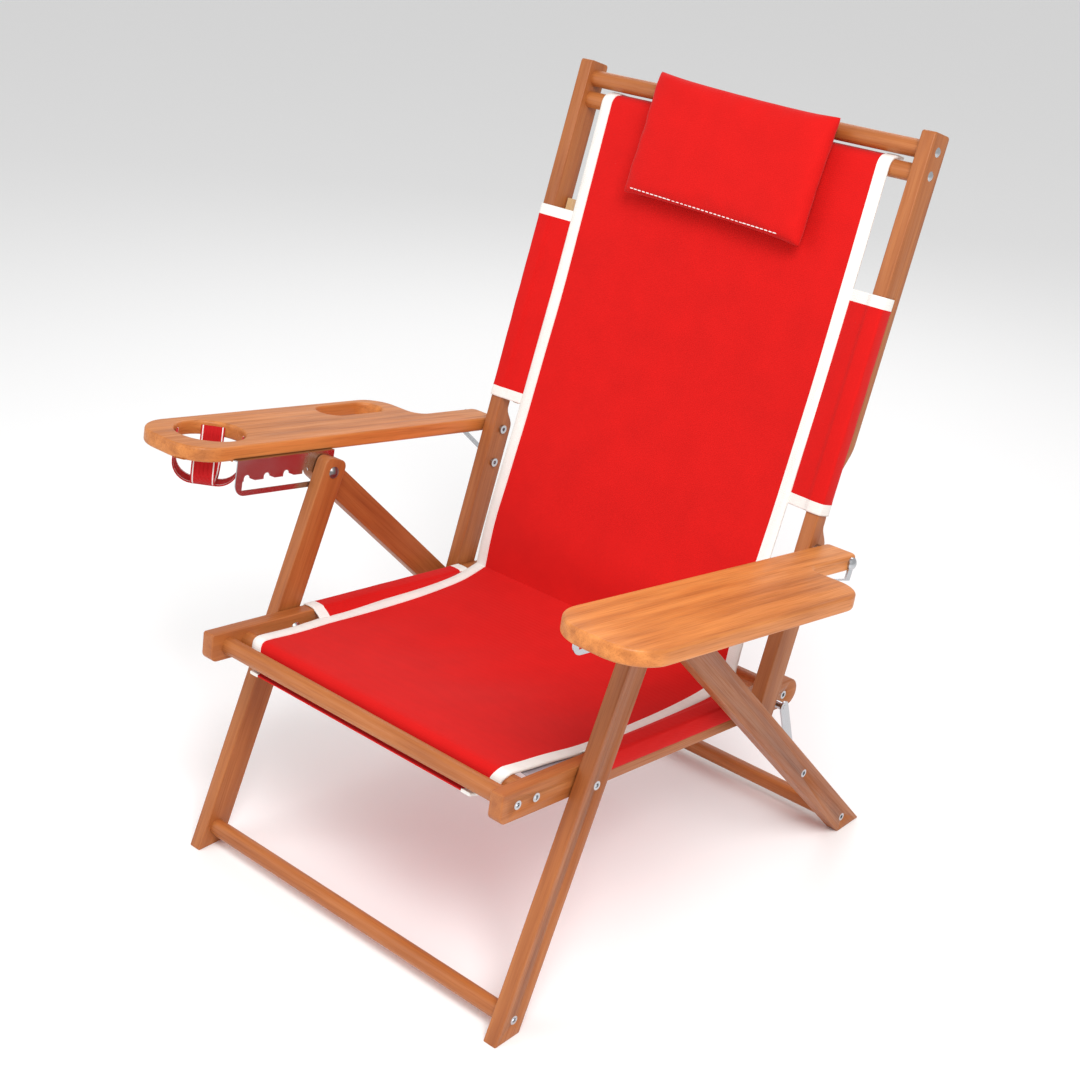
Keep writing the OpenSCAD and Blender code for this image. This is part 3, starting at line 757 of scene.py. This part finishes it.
def stitch_pillow(pillow, thread):
    """Raised white dashes along the pillow's lower edge."""
    surface = [v.co for v in pillow.data.vertices if v.co.z > 0]
    bm = bmesh.new()
    y = -PILLOW_H / 2 + STITCH_FROM_EDGE
    x, end = -PILLOW_W * 0.43, PILLOW_W * 0.38
    while x < end:
        corners = []
        for dx, dy in ((0, -STITCH_HALF_W), (STITCH_LENGTH, -STITCH_HALF_W),
                       (STITCH_LENGTH, STITCH_HALF_W), (0, STITCH_HALF_W)):
            near = min(surface, key=lambda p: (p.x - x - dx) ** 2 + (p.y - y - dy) ** 2)
            corners.append((x + dx, y + dy, near.z))
        height = max(corner[2] for corner in corners) + 0.0002
        low = [bm.verts.new((a, b, height - 0.0018)) for a, b, _ in corners]
        high = [bm.verts.new((a, b, height + 0.0004)) for a, b, _ in corners]
        bm.faces.new(high)
        bm.faces.new(low[::-1])
        for k in range(4):
            n = (k + 1) % 4
            bm.faces.new((low[k], low[n], high[n], high[k]))
        x += STITCH_PITCH
    return new_object("head_pillow_stitches", bm, [thread], smooth=False)


def make_pillow(red, thread):
    pillow = new_object("head_pillow_cloth", pillow_start(), [red])
    inflate(pillow, 4.0, 0.003)
    mesh = pillow.data
    thick = max(v.co.z for v in mesh.vertices) - min(v.co.z for v in mesh.vertices)
    for vert in mesh.vertices:
        vert.co.z *= PILLOW_T / thick
        x, y = vert.co.x / (PILLOW_W / 2), vert.co.y / (PILLOW_H / 2)
        edge = max(abs(x), abs(y)) ** 6
        pucker = PILLOW_PUCKER if vert.co.z > 0 else PILLOW_PUCKER * 0.4
        vert.co.z += pucker * edge * math.sin(x * 23 + 1) * math.sin(y * 15)
    smooth = pillow.modifiers.new("smooth", "SUBSURF")
    smooth.levels = 1
    smooth.render_levels = 1
    apply_modifiers(pillow)
    place = Matrix((
        (1, 0, 0, 0),
        (0, UPRIGHT.along[0], UPRIGHT.out[0], 0),
        (0, UPRIGHT.along[1], UPRIGHT.out[1], 0),
        (0, 0, 0, 1)))
    centre = UPRIGHT.point(PILLOW_X, PILLOW_S, PILLOW_V + PILLOW_T / 2)
    place = Matrix.Translation(centre) @ place @ Matrix.Rotation(PILLOW_TURN, 4, "Z")
    stitches = stitch_pillow(pillow, thread)
    for piece in (pillow, stitches):
        piece.data.transform(place)
    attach(stitches, "back")
    pillow.data.polygons.foreach_set("use_smooth", [True] * len(pillow.data.polygons))
    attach(pillow, "back")
    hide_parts("head_pillow")
    return pillow


# ---- Cup cradle -------------------------------------------------------------------
CUP_X = 0.347
CUP_Y = -0.4466
STRAP_W = 0.030
CUP_SPAN = 0.0410
ARM = Line(ARM_PIVOT, ARM_ANGLE)


def cradle_path(drop):
    """Half-width and height of a strap that hangs through the hole, in the arm's frame."""
    low = -0.0095 - drop
    radius = 0.026
    pts = [(-CUP_SPAN, 0.004), (-CUP_SPAN, -0.008), (-CUP_SPAN, -0.020)]
    for i in range(9):
        angle = math.radians(180 + 90 * i / 8)
        pts.append((-CUP_SPAN + radius + radius * math.cos(angle),
                    low + radius + radius * math.sin(angle)))
    return pts + [(-a, z) for a, z in reversed(pts)]


def make_strap(name, node, turn, drop, webbing, thread):
    """Red webbing with a white thread line sewn along both edges."""
    offsets = [-0.5, -0.44, -0.39, -0.2, 0, 0.2, 0.39, 0.44, 0.5]
    rows = []
    for a, z in cradle_path(drop):
        row = []
        for share in offsets:
            w = share * STRAP_W
            rise = 0.0003 * (1 - (2 * share) ** 2)
            x = CUP_X + a * math.cos(turn) - w * math.sin(turn)
            y = CUP_Y + a * math.sin(turn) + w * math.cos(turn)
            row.append(ARM.point(-x, y, z + rise))
        rows.append(row)
    strap = grid_sheet(name, rows, 0.0014, [webbing, thread],
                       lambda i, j: 1 if j in (1, 6) else 0)
    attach(strap, "arm_left")
    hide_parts(node)
    return strap


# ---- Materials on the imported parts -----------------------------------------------
def paint_frame(steel, shaded_steel):
    angles = {"seat_rail": RAIL_ANGLE, "back_upright": UPRIGHT_ANGLE,
              "front_leg": FRONT_LEG_ANGLE, "rear_leg": REAR_LEG_ANGLE}
    seeds = {"seat_rail": 1.0, "back_upright": 2.3, "front_leg": 4.1, "rear_leg": 5.7}
    tints = {"seat_rail": 0.88, "back_upright": 0.76, "front_leg": 0.82, "rear_leg": 0.70}
    for kind, angle in angles.items():
        for label, side in SIDES:
            material = wood(f"{kind}_{label}_wood", angle, seed=seeds[kind] + side * 0.35,
                            tint=tints[kind], redden=0.30)
            eased(f"{kind}_{label}", 0.0016, material)
    for label, seed, tint in (("left", 7.9, 1.06), ("right", 9.2, 1.2)):
        material = wood(f"arm_{label}_wood", ARM_ANGLE, seed=seed, tint=tint)
        eased(f"arm_{label}_board", 0.0035, material, segments=4)
    dowels = ("seat_front_dowel", "seat_sling_dowel", "seat_rear_dowel", "back_top_dowel",
              "back_sling_dowel", "front_stretcher", "rear_stretcher")
    for index, node in enumerate(dowels):
        paint(node, wood(f"{node}_wood", 0, along_x=True, seed=11 + index, tint=0.88, redden=0.25))
    # On the right back batten this darker wood is painted shade: it is the same pale wood as the left
    # one, standing in shade.
    batten = wood("batten_wood", UPRIGHT_ANGLE, seed=3.3, tint=0.8, redden=0.2)
    for node in ("back_batten_right", "seat_batten_left", "seat_batten_right"):
        paint(node, batten)
    raw = wood("raw_batten_wood", UPRIGHT_ANGLE, seed=6.1, tint=1.0)
    whiten(raw)
    paint("back_batten_left", raw)
    for node, obj in NODES.items():
        if any(key in node for key in ("screw", "bolt", "pins", "nuts", "link", "brace", "rack")):
            paint(node, steel)
    # Painted shade: the top pivot bolts take a darker steel for the shadow they sit in.
    paint("top_pivot_bolts", shaded_steel)


def whiten(material):
    """Turns a wood material into the pale colour of unoiled wood."""
    shader = material.node_tree.nodes["Principled BSDF"]
    source = shader.inputs["Base Color"].links[0].from_socket
    link(material, mix(material, "MIX", 0.72, source, (0.80, 0.62, 0.33, 1)),
         shader.inputs["Base Color"])


# ---- The scene -------------------------------------------------------------------
make_camera()
make_studio()
RED = cloth("red_canvas", (0.60, 0.0080, 0.0070), UPRIGHT_ANGLE)
WHITE = cloth("white_binding", (0.83, 0.81, 0.77), UPRIGHT_ANGLE, pitch=0.0014, shade=0.05)
WEBBING = cloth("red_webbing", (0.52, 0.012, 0.014), ARM_ANGLE, pitch=0.0018, depth=0.6)
LINING = cloth("grey_lining", (0.42, 0.37, 0.40), RAIL_ANGLE)
THREAD = cloth("white_thread", (0.84, 0.80, 0.78), ARM_ANGLE, pitch=0.0016, shade=0.05)
STEEL = metal("polished_steel", (0.50, 0.51, 0.53), 0.24)
# Darker steel whose colour is painted shade, for the top pivot bolts in shadow.
SHADED_STEEL = metal("shaded_steel", (0.22, 0.21, 0.21), 0.34)
paint_frame(STEEL, SHADED_STEEL)
make_slings(RED, WHITE)
make_wings(RED, WHITE)
make_linings(LINING)
make_pillow(RED, THREAD)
make_strap("cup_strap_long_webbing", "cup_strap_long", math.radians(135), 0.0473, WEBBING, THREAD)
make_strap("cup_strap_cross_webbing", "cup_strap_cross", math.radians(45), 0.0453, WEBBING, THREAD)
